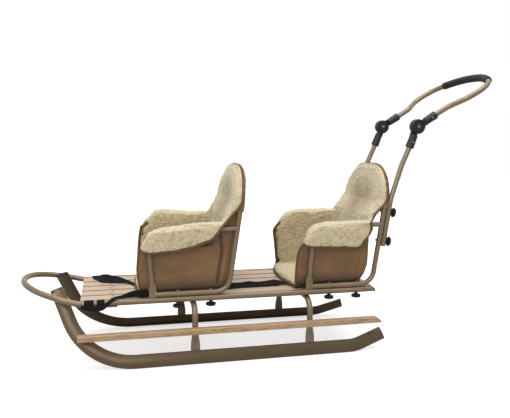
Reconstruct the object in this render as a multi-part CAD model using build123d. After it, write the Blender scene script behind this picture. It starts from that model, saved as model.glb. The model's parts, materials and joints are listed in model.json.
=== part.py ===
from build123d import *
import math
import os

os.makedirs("parts", exist_ok=True)

# Two-seat snow sled: millimetres, X runs from the nose to the push bar, Y to the far side, Z up.
# While it is drawn x = 0 lies midway between the two leg arches; every piece is moved by
# FRAME_SHIFT at the end, so the origin comes under the middle of the whole sled.

# Runners, each in a plane that leans inward
RUNNER_LEAN = 25.0        # deg from upright
RUNNER_SPREAD = 51.0      # the runner planes meet the ground this far outside the deck tubes
RUNNER_DEPTH = 45.0
RUNNER_WALL = 14.0        # thickness at the middle of the section
RUNNER_EDGE = 4.0         # radius of the section's upper and lower edge
RUNNER_FLAT_FRONT = -396.0
RUNNER_FLAT_REAR = 340.0
FRONT_CURL = 70.0         # deg
FRONT_CURL_RADIUS = 222.5
FRONT_STRAIGHT = 110.0
REAR_CURL = 19.0          # deg
REAR_CURL_RADIUS = 141.5
REAR_STRAIGHT = 86.0
PLUG_LENGTH = 3.5

# Leg arches
LEG_X = (-200.0, 200.0)
LEG_TUBE = 20.0
LEG_SPREAD = 27.0         # the legs stand this far outside the deck tubes
LEG_BOLT_Z = 76.0
LEG_BOLT_RADIUS = 4.5
LEG_BEND = 45.0
FOOT_WIDTH = 31.0
FOOT_WALL = 6.0
FOOT_TOP = 62.0
LEG_ROUND_FROM = 98.0

# Deck
DECK_TUBE = 20.0
DECK_HALF_WIDTH = 175.0   # half distance between the deck tubes, which the whole sled follows
DECK_Z = 211.0            # centre of the deck tubes
DECK_REAR = 450.0
BUMPER_FROM = -570.0
SLAT_COUNT = 5
SLAT_GAP = 7.0
SLAT_EDGE_GAP = 3.5       # between the outer slats and the deck tubes
SLAT_WALL = 18.0
SLAT_FRONT = -569.0
SLAT_REAR = 446.0
FRONT_BAR_X = -467.0
FRONT_BAR_WIDTH = 32.0
FRONT_BAR_WALL = 4.0
STUD_RADIUS = 6.0         # spacers between the bumper tube and the runners
GAP = 0.3                 # room left where one piece rests on another
SMALL_PIN = 7.0           # pins, heads and holes below this radius are drawn with flats
PIN_SIDES = 14

# Foot rests
REST_FRONT = -578.0
REST_REAR = 454.0
REST_TOP = 123.0
REST_HEIGHT = 20.0
REST_WALL = 25.0

# Seats
SEAT_TUBE = 18.0
REAR_LEAN = math.degrees(math.atan(0.148))
ARM_Z = 443.0
ARM_BEND = 60.0
SEAT_REAR_BEND = 50.0
BACK_TOP = 636.0
BACK_BEND = 135.0
SHELL_GAP = 0.8           # between the cover and the seat's tubes
SHELL_WALL = 3.6
LINER_WALL = 14.0
ARM_ROLL = 28.0           # the fleece rolls reach this far outside the deck tubes
HOOD_FOOT = 499.0
POCKET_FROM = 2.0         # the hood's fleece ends and its nylon pocket starts, behind the tube's middle
ARM_TOP = 467.0

# Push bar
PIVOT_X = 608.0
PIVOT_Z = 788.0
PIVOT_INSET = 25.0        # the hinge heads stand this far inside the deck tubes
LOOP_ANGLE = 31.6         # deg above level
LOWER_ANGLE = 249.1       # deg from level, pointing down to the sled
LOOP_TUBE = 19.0
LOOP_REACH = 357.0
HEAD_RADIUS = 26.0
HEAD_WALL = 11.6
SLEEVE_RADIUS = 15.2      # at the tube's end; it narrows towards the head
SLEEVE_NECK = 13.4
SLEEVE_FROM = 32.0
SLEEVE_END = 80.0
GRIP_DIAMETER = 28.0
GRIP_INSET = 64.0         # the loop's end starts to bend this far inside the hinge heads
GRIP_ARC = 3.37           # radius of that bend, in half widths

NOSE_X = -757.0
NOSE_Z = 262.0
NOSE_INSET = 115.0        # the bumper's last bend starts this far inside the deck tubes
NOSE_ARC = 2.83           # radius of that bend, in half widths
SIDES = {"left": -1, "right": 1}

tube_r = DECK_TUBE / 2
seat_r = SEAT_TUBE / 2
RUNNER_HALF_GAUGE = DECK_HALF_WIDTH + RUNNER_SPREAD
LEG_HALF_WIDTH = DECK_HALF_WIDTH + LEG_SPREAD
PIVOT_HALF_WIDTH = DECK_HALF_WIDTH - PIVOT_INSET
SHELL_HALF_WIDTH = DECK_HALF_WIDTH - seat_r - SHELL_GAP
ARM_OUTER = DECK_HALF_WIDTH + ARM_ROLL
slats_width = 2 * (DECK_HALF_WIDTH - tube_r - SLAT_EDGE_GAP)
SLAT_WIDTH = (slats_width - (SLAT_COUNT - 1) * SLAT_GAP) / SLAT_COUNT
loop_dx = math.cos(math.radians(LOOP_ANGLE))
loop_dz = math.sin(math.radians(LOOP_ANGLE))
nose_front = NOSE_X - tube_r
grip_back = PIVOT_X + LOOP_REACH * loop_dx + GRIP_DIAMETER / 2
FRAME_SHIFT = -(nose_front + grip_back) / 2

# Seat places: x of the front post's foot, how far it leans, x of the rear post at the foot,
# x of its two bolts, how far the cover's back stands ahead of the rear posts, and how far its
# floor pad reaches ahead of the front posts at the middle
SEATS = (
    # name, front_x, front_lean, rear_x, bolt_a, bolt_b, back_ahead, pad_reach
    ("front", -337.0, -0.070, -83.0, -254.0, -143.0, 0.0, 54.0),
    ("rear", 204.0, 0.070, 439.0, 278.0, 380.0, 20.0, 73.0),
)
BACK_PROFILE = (
    # height, share of back_ahead
    (215.0, 1.9), (247.0, 1.65), (265.0, 1.1), (290.0, 0.8), (390.0, 1.2), (430.0, 0.9), (480.0, 0.0),
)

nodes = {}


def keep(name, shape):
    nodes.setdefault(name, []).append(shape)


def wire_of(points, bends):
    """Straight runs through the points, rounded by the bends at the inner points."""
    pts = [Vector(*p) for p in points]
    edges = []
    last = pts[0]
    for i in range(1, len(pts) - 1):
        into = (pts[i] - pts[i - 1]).normalized()
        out = (pts[i + 1] - pts[i]).normalized()
        turn = math.acos(max(-1.0, min(1.0, into.dot(out))))
        radius = bends[i - 1]
        back = radius * math.tan(turn / 2)
        a = pts[i] - into * back
        b = pts[i] + out * back
        side = (out - into).normalized()
        mid = pts[i] + side * (radius / math.cos(turn / 2) - radius)
        if (a - last).length > 0.01:
            edges.append(Line(last, a))
        edges.append(ThreePointArc(a, mid, b))
        last = b
    edges.append(Line(last, pts[-1]))
    return Wire([e.edge() for e in edges])


def rod(path, diameter, sides=0):
    """Round bar along the path, or a polygon of that many sides that clears the same round bar."""
    start = Plane(origin=path @ 0, z_dir=path % 0)
    if sides:
        reach = diameter / 2 / math.cos(math.pi / sides)
        return sweep(start * RegularPolygon(reach, sides), path=path)
    return sweep(start * Circle(diameter / 2), path=path)


def plate(points, y_from, y_to):
    """Outline in x and z, as thick as from one y to the other."""
    low, high = min(y_from, y_to), max(y_from, y_to)
    place = Plane(origin=(0, high, 0), x_dir=(1, 0, 0), z_dir=(0, -1, 0))
    return extrude(place * make_face(Polyline(*points, close=True)), amount=high - low)


def pin(x, y, z, axis, radius, length):
    """Pin or hole that starts at the point and runs along the axis; thin ones have flats."""
    place = Plane(origin=(x, y, z), z_dir=axis)
    if radius < SMALL_PIN:
        return extrude(place * RegularPolygon(radius, PIN_SIDES), amount=length)
    return extrude(place * Circle(radius), amount=length)


def pressed(width, wall, power, count=20):
    """Section of a tube pressed flat: power 1 is an ellipse, lower is squarer."""
    ring = []
    for i in range(count):
        a = 2 * math.pi * (i + 0.5) / count
        c, s = math.cos(a), math.sin(a)
        ring.append((
            math.copysign(abs(c) ** power, c) * width / 2, math.copysign(abs(s) ** power, s) * wall / 2))
    return make_face(Polyline(*ring, close=True))


def dome(x, y, z, axis, radius, height):
    head = pin(x, y, z, axis, radius, height)
    top = head.faces().sort_by(Axis((x, y, z), axis))[-1]
    return chamfer(top.edges(), height * 0.45)


def star_knob(x, y, z, axis, stem_length):
    """Star grip on a stem: the stem starts at the point, the star follows along the axis."""
    ring = []
    for i in range(16):
        radius = 17.5 if i % 2 == 0 else 13.5
        turn = math.radians(i * 22.5)
        ring.append((radius * math.cos(turn), radius * math.sin(turn)))
    place = Plane(origin=(x, y, z), z_dir=axis)
    stem = extrude(place * RegularPolygon(6, PIN_SIDES), amount=stem_length)
    star = extrude(place.offset(stem_length) * make_face(Polyline(*ring, close=True)), amount=10)
    ends = star.faces().sort_by(Axis((x, y, z), axis))
    star = chamfer(ends[-1].edges(), 2.4)
    return stem + star


# Runners and their end plugs
lean = math.radians(RUNNER_LEAN)
rise = ((RUNNER_DEPTH / 2 - RUNNER_EDGE) * math.cos(lean) + RUNNER_EDGE) / math.cos(lean)
runner_top = (rise + RUNNER_DEPTH / 2 - RUNNER_EDGE) * math.cos(lean) + RUNNER_EDGE
curl = math.radians(FRONT_CURL)
tail = math.radians(REAR_CURL)
front_knee = RUNNER_FLAT_FRONT - FRONT_CURL_RADIUS * math.tan(curl / 2)
front_reach = FRONT_CURL_RADIUS * math.tan(curl / 2) + FRONT_STRAIGHT
rear_knee = RUNNER_FLAT_REAR + REAR_CURL_RADIUS * math.tan(tail / 2)
rear_reach = REAR_CURL_RADIUS * math.tan(tail / 2) + REAR_STRAIGHT
runner_path = (
    (rear_knee + rear_reach * math.cos(tail), rise + rear_reach * math.sin(tail)),
    (rear_knee, rise),
    (front_knee, rise),
    (front_knee - front_reach * math.cos(curl), rise + front_reach * math.sin(curl)),
)


def runner_point(x, s, side):
    return (x, side * (RUNNER_HALF_GAUGE - s * math.sin(lean)), s * math.cos(lean))


def runner_section(origin, along, side):
    across = (0, math.cos(lean), side * math.sin(lean))
    place = Plane(origin=origin, x_dir=across, z_dir=along)
    half = RUNNER_DEPTH / 2
    flank = half - RUNNER_EDGE
    e = RUNNER_EDGE
    w = RUNNER_WALL / 2
    outline = Wire([
        ThreePointArc((e, -flank), (w, 0), (e, flank)).edge(),
        ThreePointArc((e, flank), (0, half), (-e, flank)).edge(),
        ThreePointArc((-e, flank), (-w, 0), (-e, -flank)).edge(),
        ThreePointArc((-e, -flank), (0, -half), (e, -flank)).edge(),
    ])
    return place * make_face(outline)


for name, side in SIDES.items():
    points = [runner_point(x, s, side) for x, s in runner_path]
    path = wire_of(points, (REAR_CURL_RADIUS, FRONT_CURL_RADIUS))
    keep("runner_" + name, sweep(runner_section(path @ 0, path % 0, side), path=path))
    for where, way in ((0, -1), (1, 1)):
        along = (path % where) * way
        cap = extrude(runner_section(path @ where, along, side), amount=PLUG_LENGTH)
        keep("runner_plugs", cap)

# Leg arches: a round tube bent down on both sides, flattened into a foot on the runner
leg_r = LEG_TUBE / 2
cross_z = DECK_Z - tube_r - leg_r - GAP
foot_bottom = runner_top + GAP
foot_y = RUNNER_HALF_GAUGE - runner_top * math.tan(lean)
for arch, leg_x in zip(("front_leg_arch", "rear_leg_arch"), LEG_X):
    upper = wire_of(
        (
            (leg_x, -LEG_HALF_WIDTH, LEG_ROUND_FROM),
            (leg_x, -LEG_HALF_WIDTH, cross_z),
            (leg_x, LEG_HALF_WIDTH, cross_z),
            (leg_x, LEG_HALF_WIDTH, LEG_ROUND_FROM),
        ),
        (LEG_BEND, LEG_BEND),
    )
    body = rod(upper, LEG_TUBE)
    for side in SIDES.values():
        share = (LEG_ROUND_FROM - FOOT_TOP) / (LEG_ROUND_FROM - foot_bottom)
        mid_y = LEG_HALF_WIDTH + (foot_y - LEG_HALF_WIDTH) * share
        stations = (
            (LEG_HALF_WIDTH, LEG_ROUND_FROM, LEG_TUBE, LEG_TUBE, 1.0),
            ((LEG_HALF_WIDTH + mid_y) / 2, (LEG_ROUND_FROM + FOOT_TOP) / 2, 26.0, 13.0, 0.85),
            (mid_y, FOOT_TOP, FOOT_WIDTH, FOOT_WALL, 0.5),
            (foot_y, foot_bottom, FOOT_WIDTH, FOOT_WALL, 0.5),
        )
        rings = [
            Plane(origin=(leg_x, side * across, z)) * pressed(width, wall, power)
            for across, z, width, wall, power in stations
        ]
        for upper_ring, lower_ring in zip(rings, rings[1:]):
            body += loft([upper_ring.face(), lower_ring.face()], ruled=True)
        face_y = 0.0
        for z in (LEG_BOLT_Z - LEG_BOLT_RADIUS, LEG_BOLT_Z + LEG_BOLT_RADIUS):
            for upper_at, lower_at in zip(stations, stations[1:]):
                if lower_at[1] <= z <= upper_at[1]:
                    way = (upper_at[1] - z) / (upper_at[1] - lower_at[1])
                    centre = upper_at[0] + (lower_at[0] - upper_at[0]) * way
                    wall = upper_at[3] + (lower_at[3] - upper_at[3]) * way
                    face_y = max(face_y, centre + wall / 2)
        keep("leg_bolts", dome(leg_x, side * (face_y + 0.1), LEG_BOLT_Z, (0, side, 0), LEG_BOLT_RADIUS, 3))
    keep(arch, body)

# Foot rests along the outside of the legs
rest_inner = LEG_HALF_WIDTH + leg_r + GAP
for name, side in SIDES.items():
    low = REST_TOP - REST_HEIGHT
    outline = (
        (REST_FRONT, low), (REST_REAR, low), (REST_REAR, REST_TOP - 14),
        (REST_REAR - 17, REST_TOP), (REST_FRONT, REST_TOP),
    )
    bar = plate(outline, side * rest_inner, side * (rest_inner + REST_WALL))
    bar = fillet(bar.edges().filter_by(Axis.X), 3.5)
    keep("footrest_" + name, bar)

# Deck frame: one tube, bent up and round the nose into a bumper
nose_half = DECK_HALF_WIDTH - NOSE_INSET
BUMPER_KNEES = (
    # x, half width, bend radius
    (-622.0, DECK_HALF_WIDTH, 170.0), (-703.0, DECK_HALF_WIDTH - 39.0, 150.0),
    (NOSE_X, nose_half, NOSE_ARC * nose_half),
)
bumper_slope = (NOSE_Z - DECK_Z) / (NOSE_X - BUMPER_FROM)


def bumper_z(x):
    return DECK_Z + max(0.0, (x - BUMPER_FROM) * bumper_slope)


left_run = [(DECK_REAR, -DECK_HALF_WIDTH, DECK_Z), (BUMPER_FROM, -DECK_HALF_WIDTH, DECK_Z)]
left_run += [(x, -w, bumper_z(x)) for x, w, bend in BUMPER_KNEES]
knee_bends = [100.0] + [bend for x, w, bend in BUMPER_KNEES]
deck_path = wire_of(
    left_run + [(x, -y, z) for x, y, z in reversed(left_run)], knee_bends + knee_bends[::-1])
deck = rod(deck_path, DECK_TUBE)
slope_cut = plate(
    ((DECK_REAR - 16, DECK_Z + 14), (DECK_REAR + 12, DECK_Z + 14), (DECK_REAR + 4, DECK_Z)),
    -DECK_HALF_WIDTH - 20, DECK_HALF_WIDTH + 20,
)
deck -= slope_cut
bolt_hole = 3.3
for name, front_x, front_lean, rear_x, bolt_a, bolt_b, back_ahead, pad_reach in SEATS:
    for bolt_x in (bolt_a, bolt_b):
        for side in SIDES.values():
            deck -= pin(bolt_x, side * DECK_HALF_WIDTH, DECK_Z - 15, (0, 0, 1), bolt_hole, 30)
keep("deck_frame", deck)

# Front cross bar under the deck tubes
bar_half = DECK_HALF_WIDTH + 4
bar_top = DECK_Z - tube_r - GAP
front_bar = Box(FRONT_BAR_WIDTH, 2 * bar_half, FRONT_BAR_WALL)
front_bar = fillet(front_bar.edges().filter_by(Axis.Z), 5)
keep("front_cross_bar", Pos(FRONT_BAR_X, 0, bar_top - FRONT_BAR_WALL / 2) * front_bar)

# Slats and their screws
slat_low = bar_top + GAP
slat_top = slat_low + SLAT_WALL
slat_mid = (SLAT_FRONT + SLAT_REAR) / 2
for i in range(SLAT_COUNT):
    y = (i - (SLAT_COUNT - 1) / 2) * (SLAT_WIDTH + SLAT_GAP)
    slat = Box(SLAT_REAR - SLAT_FRONT, SLAT_WIDTH, SLAT_WALL)
    slat = fillet(slat.edges().filter_by(Axis.X), 4)
    keep("slat_%d" % (i + 1), Pos(slat_mid, y, slat_low + SLAT_WALL / 2) * slat)
    for screw_x in (FRONT_BAR_X, LEG_X[1] + 40):
        for dy in (-14, 14):
            if screw_x < 0 or i > 1:
                keep("slat_screws", dome(screw_x + dy * 0.2, y + dy, slat_top + 0.1, (0, 0, 1), 3.6, 1.1))

# Spacer studs between the bumper tube and the runners' front ends
stud_x = -648.0
stud_s = (rise + front_reach * math.sin(curl)) - 22.0
for side in SIDES.values():
    stud_y = RUNNER_HALF_GAUGE - stud_s * math.sin(lean)
    stud_z = stud_s * math.cos(lean)
    outward = Vector(0, side * math.cos(lean), math.sin(lean))
    face = Vector(stud_x, side * stud_y, stud_z) + outward * (RUNNER_WALL / 2 + GAP)
    tube_at = min(
        (deck_path @ (i / 600) for i in range(601)),
        key=lambda p: abs(p.X - stud_x) + (0 if p.Y * side > 0 else 1000),
    )
    reach = (tube_at - face).dot(outward) - tube_r - GAP
    keep("runner_studs", pin(face.X, face.Y, face.Z, outward, STUD_RADIUS, reach))

# Seat frames, covers, bolts and knobs; the push tubes stand behind the rear seat's posts
seat_z = DECK_Z + tube_r + seat_r + GAP
lean_slope = math.tan(math.radians(REAR_LEAN))
tilt = math.radians(REAR_LEAN)
back_way = Vector(math.cos(tilt), 0, -math.sin(tilt))
tube_step = SEAT_TUBE + GAP
lower_dir = Vector(math.cos(math.radians(LOWER_ANGLE)), 0, math.sin(math.radians(LOWER_ANGLE)))


def rear_line(rear_x, z):
    return rear_x + lean_slope * (z - seat_z)


def beside_post(rear_x, side, z):
    return Vector(rear_line(rear_x, z), side * DECK_HALF_WIDTH, z) + back_way * tube_step


def push_path(rear_x, side):
    pivot = Vector(PIVOT_X, side * PIVOT_HALF_WIDTH, PIVOT_Z)
    return wire_of(
        (
            beside_post(rear_x, side, HOOD_FOOT - 132), beside_post(rear_x, side, HOOD_FOOT + 33),
            (552.0, side * PIVOT_HALF_WIDTH, 650.0),
            pivot + lower_dir * SLEEVE_END, pivot + lower_dir * (SLEEVE_FROM + 12),
        ),
        (110, 140, 160),
    )


def hood(rear_x, z_from, near, far, inset=0.0):
    """Rounded top of a back, upright along the lean, from one depth to another."""
    tilt = math.radians(REAR_LEAN)
    up = Vector(math.sin(tilt), 0, math.cos(tilt))
    back = Vector(math.cos(tilt), 0, -math.sin(tilt))
    foot = Vector(rear_line(rear_x, z_from), 0, z_from)
    top = (BACK_TOP - z_from) / math.cos(tilt) + 12 - inset
    half = DECK_HALF_WIDTH + 12 - inset
    bend = BACK_BEND + 12 - inset
    place = Plane(origin=foot + back * near, x_dir=(0, 1, 0), z_dir=back)
    if (place.y_dir - up).length > 1:
        place = Plane(origin=foot + back * near, x_dir=(0, -1, 0), z_dir=back)
    outline = Wire([
        Line((-half, 0), (half, 0)).edge(),
        Line((half, 0), (half, top - bend)).edge(),
        RadiusArc((half, top - bend), (half - bend, top), -bend).edge(),
        Line((half - bend, top), (bend - half, top)).edge(),
        RadiusArc((bend - half, top), (-half, top - bend), -bend).edge(),
        Line((-half, top - bend), (-half, 0)).edge(),
    ])
    return extrude(place * make_face(outline), amount=far - near)


def trough(half, low, radius, x_from, x_to, high=700.0):
    """Block with a rounded underside, used for the shell, the liner and the room inside."""
    place = Plane(origin=(x_from, 0, 0), x_dir=(0, 1, 0), z_dir=(1, 0, 0))
    outline = Wire([
        Line((-half, high), (-half, low + radius)).edge(),
        RadiusArc((-half, low + radius), (-half + radius, low), -radius).edge(),
        Line((-half + radius, low), (half - radius, low)).edge(),
        RadiusArc((half - radius, low), (half, low + radius), -radius).edge(),
        Line((half, low + radius), (half, high)).edge(),
        Line((half, high), (-half, high)).edge(),
    ])
    return extrude(place * make_face(outline), amount=x_to - x_from)


for name, front_x, front_lean, rear_x, bolt_a, bolt_b, back_ahead, pad_reach in SEATS:
    y = DECK_HALF_WIDTH
    back_path = wire_of(
        (
            (front_x + 8, -y, seat_z), (rear_x, -y, seat_z),
            (rear_line(rear_x, BACK_TOP), -y, BACK_TOP), (rear_line(rear_x, BACK_TOP), y, BACK_TOP),
            (rear_x, y, seat_z), (front_x + 8, y, seat_z),
        ),
        (SEAT_REAR_BEND, BACK_BEND, BACK_BEND, SEAT_REAR_BEND),
    )
    frame = rod(back_path, SEAT_TUBE)
    post_foot = seat_z + 14
    for side in SIDES.values():
        arm_path = wire_of(
            (
                (rear_line(rear_x, ARM_Z) - 1, side * y, ARM_Z),
                (front_x + front_lean * (ARM_Z - seat_z), side * y, ARM_Z),
                (front_x, side * y, post_foot),
            ),
            (ARM_BEND,),
        )
        frame += rod(arm_path, SEAT_TUBE - 1)
        foot = plate(
            (
                (front_x - 12, seat_z - seat_r + 0.2), (front_x + 14, seat_z - seat_r + 0.2),
                (front_x + 12, seat_z + 26), (front_x + 8, seat_z + 36),
                (front_x - 8, seat_z + 36), (front_x - 12, seat_z + 26),
            ),
            side * (y - 5.5), side * (y + 5.5),
        )
        frame += fillet(foot.edges().filter_by(Axis.Z, tolerance=20), 2)
        for bolt_x in (bolt_a, bolt_b):
            frame -= pin(bolt_x, side * y, seat_z - 15, (0, 0, 1), bolt_hole, 30)
            bolt_top = seat_z + seat_r + GAP
            shank_end = DECK_Z - tube_r - 18
            bolt = pin(bolt_x, side * y, shank_end, (0, 0, 1), 3, bolt_top - shank_end)
            bolt += dome(bolt_x, side * y, bolt_top, (0, 0, 1), 6.5, 3.5)
            keep("seat_bolts", bolt)
            knob = star_knob(bolt_x, side * y, DECK_Z - tube_r - GAP, (0, 0, -1), 7)
            knob -= pin(bolt_x, side * y, shank_end - 1, (0, 0, 1), bolt_hole, 30)
            keep("seat_knobs", knob)
    keep(name + "_seat_frame", frame)

    # Outlines of the cover seen from the side: walls, then the folded flap over the arm
    back_gap = seat_r + 0.7

    def back_x(z, ahead=back_ahead, foot_x=rear_x):
        share = 0.0
        for (low, first), (high, second) in zip(BACK_PROFILE, BACK_PROFILE[1:]):
            if low <= z <= high:
                share = first + (second - first) * (z - low) / (high - low)
        return rear_line(foot_x, z) - back_gap - ahead * share

    floor_z = 223.4
    arm_front = front_x + front_lean * (ARM_Z - seat_z)
    wall_z = floor_z + 18
    cover_top = HOOD_FOOT - 3
    wing = [
        (rear_line(rear_x, HOOD_FOOT + dz) - ahead, HOOD_FOOT + dz)
        for dz, ahead in ((-59, 52), (-43, 50), (-12, 27), (-3, 20))
    ]
    levels = tuple(z for z in (floor_z - 4, 247, 265, 290, 340, 390, 430, 480) if z < HOOD_FOOT - 10)
    rear_edge = [(back_x(z), z) for z in (cover_top,) + levels[::-1]]
    front_edge = [
        (front_x - 90, floor_z - 4), (front_x - 90, wall_z), (front_x - 40, wall_z + 6),
        (front_x - 47, 300), (arm_front - 43, 350), (arm_front - 34, 370),
        (arm_front - 14, 396), (arm_front + 4, 424), (arm_front + 26, 436), (arm_front + 44, 438),
    ]
    side_outline = front_edge + wing + rear_edge
    wide = ARM_OUTER + 12
    plan = make_face(Wire([
        Line((front_x - pad_reach + 33, -wide), (rear_x + 90, -wide)).edge(),
        Line((rear_x + 90, -wide), (rear_x + 90, wide)).edge(),
        Line((rear_x + 90, wide), (front_x - pad_reach + 33, wide)).edge(),
        ThreePointArc(
            (front_x - pad_reach + 33, wide), (front_x - pad_reach, 0), (front_x - pad_reach + 33, -wide)
        ).edge(),
    ]))
    plan_block = Pos(0, 0, 100) * extrude(plan, amount=700)
    side_block = plate(side_outline, -wide - 15, wide + 15) & plan_block
    x0 = front_x - 95
    x1 = rear_x + 90

    # Nylon shell: thin trough, a back panel and a pocket round the top of the frame
    half = SHELL_HALF_WIDTH
    inner = half - SHELL_WALL
    shell = trough(half, floor_z, 24, x0, x1) - trough(
        inner, floor_z + SHELL_WALL, 24 - SHELL_WALL, x0, x1, 720)
    shell &= side_block
    panel_levels = (floor_z + 3,) + levels[1:]
    panel_front = [(back_x(z) - SHELL_WALL, z) for z in panel_levels]
    panel_back = [(back_x(z), z) for z in panel_levels[::-1]]
    step_back = [
        (rear_line(rear_x, HOOD_FOOT + dz) + POCKET_FROM + behind, HOOD_FOOT + dz)
        for dz, behind in ((-3, 1.5), (4, 1.5), (4, 8.5))
    ]
    panel = plate(panel_front + step_back + panel_back, -half, half)
    panel &= trough(half, floor_z, 24, x0, x1)
    pocket = hood(rear_x, HOOD_FOOT, POCKET_FROM, 11.5)
    channel = rod(back_path, SEAT_TUBE + 0.8, PIN_SIDES)
    shell = shell + panel + pocket
    shell -= channel
    if name == "rear":
        for side in SIDES.values():
            shell -= rod(push_path(rear_x, side), SEAT_TUBE + 1)
    keep(name + "_seat_shell", shell)

    # Fleece liner: floor pad, side walls, back and the rolls folded over the arms
    lin = inner - GAP
    liner = trough(lin, floor_z + SHELL_WALL + GAP, 20, x0, x1)
    liner &= side_block
    liner -= trough(lin - LINER_WALL, wall_z + 2, 8, x0 - 5, x1, 720)
    back_levels = (wall_z - 12,) + levels[1:-1] + (HOOD_FOOT + 3,)
    back_rear = [(back_x(z) - SHELL_WALL - GAP, z) for z in back_levels[::-1]]
    back_face = [(back_x(z) - SHELL_WALL - 22, z) for z in back_levels]
    back_slab = plate(back_rear + back_face, -lin, lin)
    back_slab &= trough(lin, floor_z + SHELL_WALL + GAP, 20, x0, x1)
    liner = (liner & plate([(x0, 200), (x0, 700)] + back_rear, -lin - 1, lin + 1)) + back_slab
    liner += hood(rear_x, HOOD_FOOT, -back_gap - SHELL_WALL - 20, POCKET_FROM - GAP)
    hood_wing = [
        (rear_line(rear_x, HOOD_FOOT + dz) - ahead, HOOD_FOOT + dz)
        for dz, ahead in ((-43, 52), (-12, 31), (13, 9), (41, 6), (41, 32), (-4, 46), (-31, 66))
    ]
    arm_x = rear_line(rear_x, ARM_Z)
    flap = [
        (arm_front - 43, 386), (arm_front - 20, 378), (arm_front + 2, 376),
        (arm_front + 100, 380), (arm_front + 148, 391), (arm_x - 92, 412), (arm_x - 68, 438),
        (arm_x - 56, 458), (arm_x - 60, ARM_TOP), (arm_front + 44, ARM_TOP),
        (arm_front + 12, 456), (arm_front - 14, 436), (arm_front - 36, 406),
    ]
    slot = [
        (arm_front - 70, 300), (arm_front - 70, 366), (arm_front - 38, 378),
        (arm_front - 14, 406), (arm_front + 2, 434), (arm_front + 24, 449),
        (arm_front + 44, ARM_Z + seat_r + 0.6),
        (rear_x + 60, ARM_Z + seat_r + 0.6), (rear_x + 60, 300),
    ]
    for side in SIDES.values():
        roll = plate(flap, side * (lin - LINER_WALL), side * ARM_OUTER)
        roll -= plate(slot, side * lin, side * (y + seat_r + 0.6))
        liner += roll
        liner += plate(hood_wing, side * (lin - LINER_WALL), side * (y + 7))
    liner -= rod(back_path, SEAT_TUBE + 0.8, PIN_SIDES)
    keep(name + "_seat_liner", liner)

# Push bar: lower tubes bolted behind the rear seat's posts
name, front_x, front_lean, rear_x, bolt_a, bolt_b, back_ahead, pad_reach = SEATS[1]
sleeve_grow = 0.3
clamp_heights = (HOOD_FOOT - 113, HOOD_FOOT - 10)
for side_name, side in SIDES.items():
    pivot = Vector(PIVOT_X, side * PIVOT_HALF_WIDTH, PIVOT_Z)
    lower = rod(push_path(rear_x, side), SEAT_TUBE)
    for z in clamp_heights:
        hole_at = beside_post(rear_x, side, z) - back_way * 15
        lower -= pin(hole_at.X, hole_at.Y, hole_at.Z, back_way, bolt_hole, 30)
        post_at = Vector(rear_line(rear_x, z), side * DECK_HALF_WIDTH, z)
        head_at = post_at - back_way * (seat_r + GAP + 0.2)
        end_at = tube_step + seat_r + GAP + 17
        bolt = pin(head_at.X, head_at.Y, head_at.Z, back_way, 3, seat_r + end_at)
        bolt += dome(head_at.X, head_at.Y, head_at.Z, back_way * -1, 5.5, 3)
        keep("clamp_bolts", bolt)
        star_at = post_at + back_way * (tube_step + seat_r + GAP)
        star = star_knob(star_at.X, star_at.Y, star_at.Z, back_way, 5)
        star -= pin(head_at.X, head_at.Y, head_at.Z, back_way, bolt_hole, 70)
        keep("clamp_knobs", star)
        nodes["rear_seat_frame"][0] -= pin(
            post_at.X - back_way.X * 14, post_at.Y, post_at.Z - back_way.Z * 14, back_way, bolt_hole, 28)
    keep("push_tube_" + side_name, lower)

    # Joint heads: the lower one lies inside, the upper one outside, on one pivot bolt
    for head, angle, out, tube_d in (
        ("lower_joint_", LOWER_ANGLE, -1, SEAT_TUBE),
        ("upper_joint_", LOOP_ANGLE, 1, LOOP_TUBE),
    ):
        a = math.radians(angle)
        place = Plane(origin=pivot, x_dir=(math.cos(a), 0, math.sin(a)), z_dir=(0, side * out, 0))
        start = place.offset(GAP)
        disc = extrude(start * Circle(HEAD_RADIUS), amount=HEAD_WALL)
        disc = chamfer(disc.faces().sort_by(Axis(pivot, (0, side * out, 0)))[-1].edges(), 2)
        groove = Circle(HEAD_RADIUS - 6) - Circle(HEAD_RADIUS - 8.5)
        disc -= extrude(start.offset(HEAD_WALL - 1) * groove, amount=2)
        neck = extrude(
            start * (Pos(SLEEVE_FROM / 2 + 3, 0) * Rectangle(SLEEVE_FROM + 6, 2 * SLEEVE_NECK - 3)),
            amount=HEAD_WALL - 1.2,
        )
        along = Vector(math.cos(a), 0, math.sin(a))
        at = pivot + along * SLEEVE_FROM
        sleeve_place = Plane(origin=at, z_dir=along)
        wide = sleeve_place.offset(SLEEVE_END - SLEEVE_FROM) * Circle(SLEEVE_RADIUS)
        sleeve = loft([(sleeve_place * Circle(SLEEVE_NECK)).face(), wide.face()], ruled=True)
        sleeve = chamfer(sleeve.edges().filter_by(GeomType.CIRCLE), 1.5)
        block = disc + neck + sleeve
        bore_at = pivot + along * (SLEEVE_FROM + 8)
        block -= pin(bore_at.X, bore_at.Y, bore_at.Z, along, tube_d / 2 + sleeve_grow, 80)
        block -= pin(pivot.X, side * (PIVOT_HALF_WIDTH - 30), pivot.Z, (0, side, 0), 3.6, 60)
        keep(head + side_name, block)
        screw_at = pivot + along * 60
        keep(head[:6] + "joint_screws", dome(
            screw_at.X, side * (PIVOT_HALF_WIDTH + SLEEVE_RADIUS + 0.1), screw_at.Z, (0, side, 0), 4, 2))
    bolt_in = PIVOT_HALF_WIDTH - HEAD_WALL - 2 * GAP
    shaft = pin(pivot.X, side * bolt_in, pivot.Z, (0, side, 0), 3.2, 2 * HEAD_WALL + 4 * GAP)
    shaft += dome(pivot.X, side * bolt_in, pivot.Z, (0, -side, 0), 6, 3)
    shaft += dome(
        pivot.X, side * (PIVOT_HALF_WIDTH + HEAD_WALL + 2 * GAP), pivot.Z, (0, side, 0), 6, 3)
    keep("pivot_bolts", shaft)

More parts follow.
